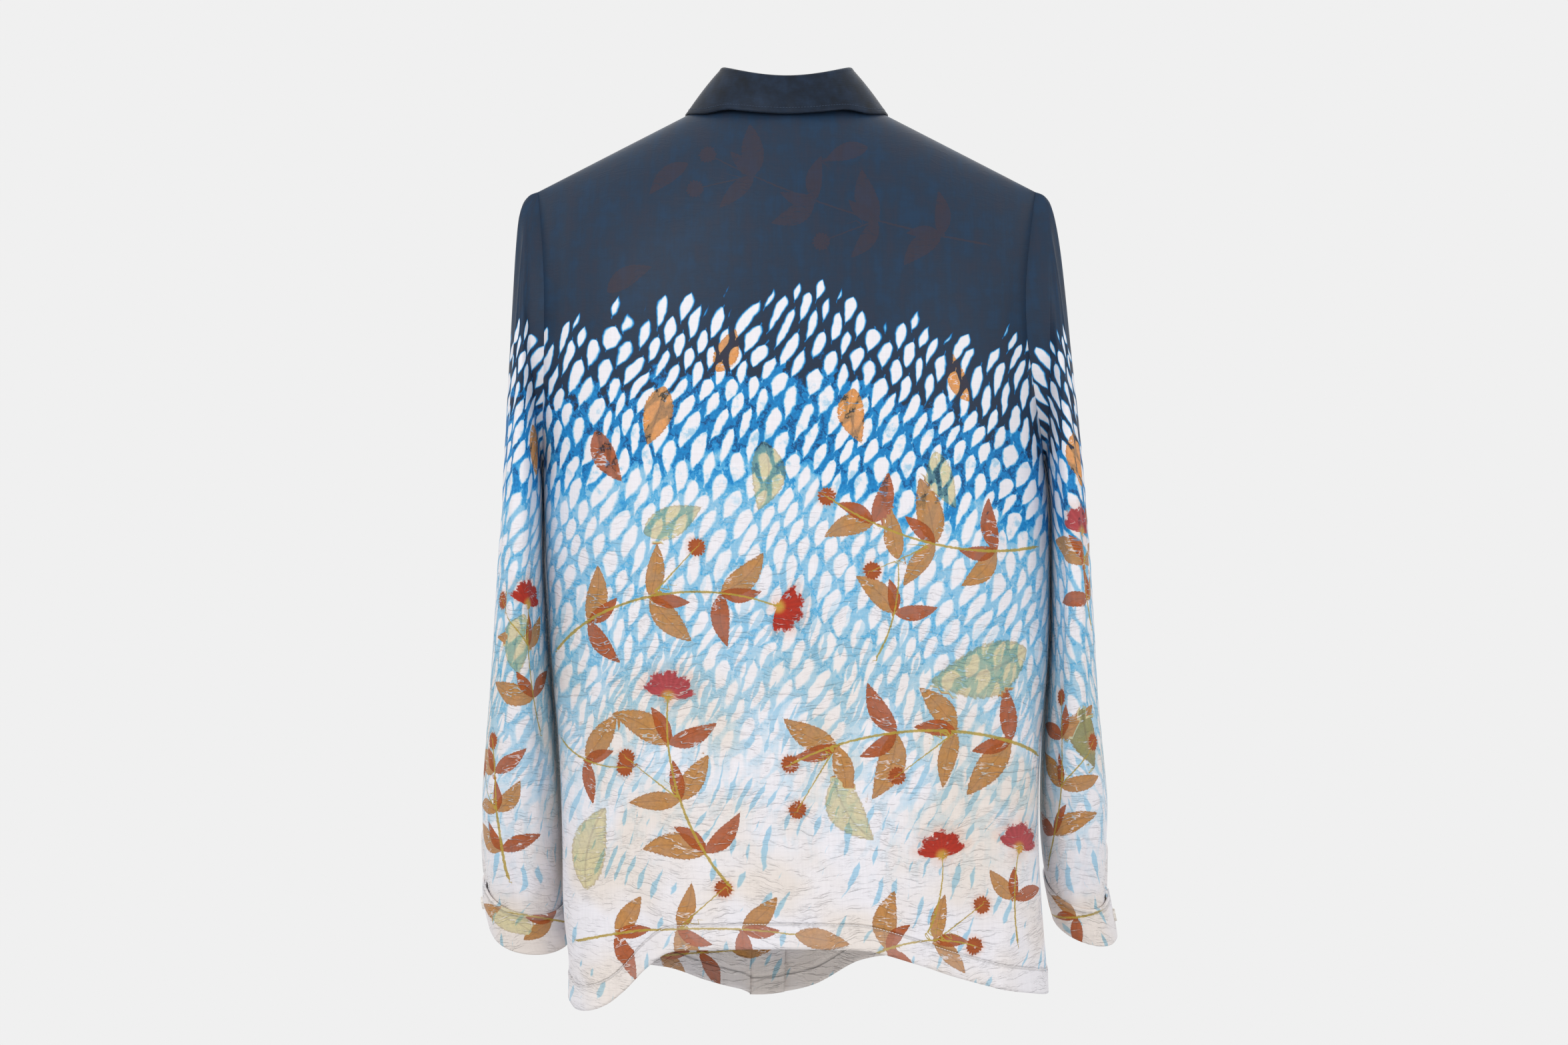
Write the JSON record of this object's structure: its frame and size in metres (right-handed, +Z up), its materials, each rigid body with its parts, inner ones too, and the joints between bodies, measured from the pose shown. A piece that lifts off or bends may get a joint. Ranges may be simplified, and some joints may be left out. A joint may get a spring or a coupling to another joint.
{
  "type": "shibori shirt",
  "caption": "Long-sleeved silk button shirt with a point collar and buttoned cuffs, hollow and filled out as worn, dyed navy above and net-resist blue to white below",
  "frame": {"origin": "middle of the neck opening, level with the neck ends of the shoulder seams, where the wearer's neck and shoulders hold the shirt", "axes": "+Z up, the back faces -Y and the buttoned front +Y, +X is the wearer's right"},
  "size_m": [0.5579, 0.2619, 0.8149],
  "materials": {
    "silk": "silk satin, shape-resist dyed from navy through bright blue to white, with leaf and flower motifs",
    "collar_silk": "navy silk satin, two layers with a soft interlining, edge stitched",
    "cuff_silk": "white silk satin, two layers, topstitched at the seam",
    "button": "polished white shell, four holes"
  },
  "bodies": {
    "root": {"back": "silk", "front_left": "silk", "front_right": "silk", "collar_stand": "collar_silk", "collar_fall": "collar_silk", "sleeve_left": "silk", "sleeve_right": "silk", "cuff_left": "cuff_silk", "cuff_right": "cuff_silk", "button_stand": "button", "button_front_1": "button", "button_front_2": "button", "button_front_3": "button", "button_front_4": "button", "button_front_5": "button", "button_front_6": "button", "button_front_7": "button", "button_cuff_left": "button", "button_cuff_right": "button"}
  },
  "joints": []
}
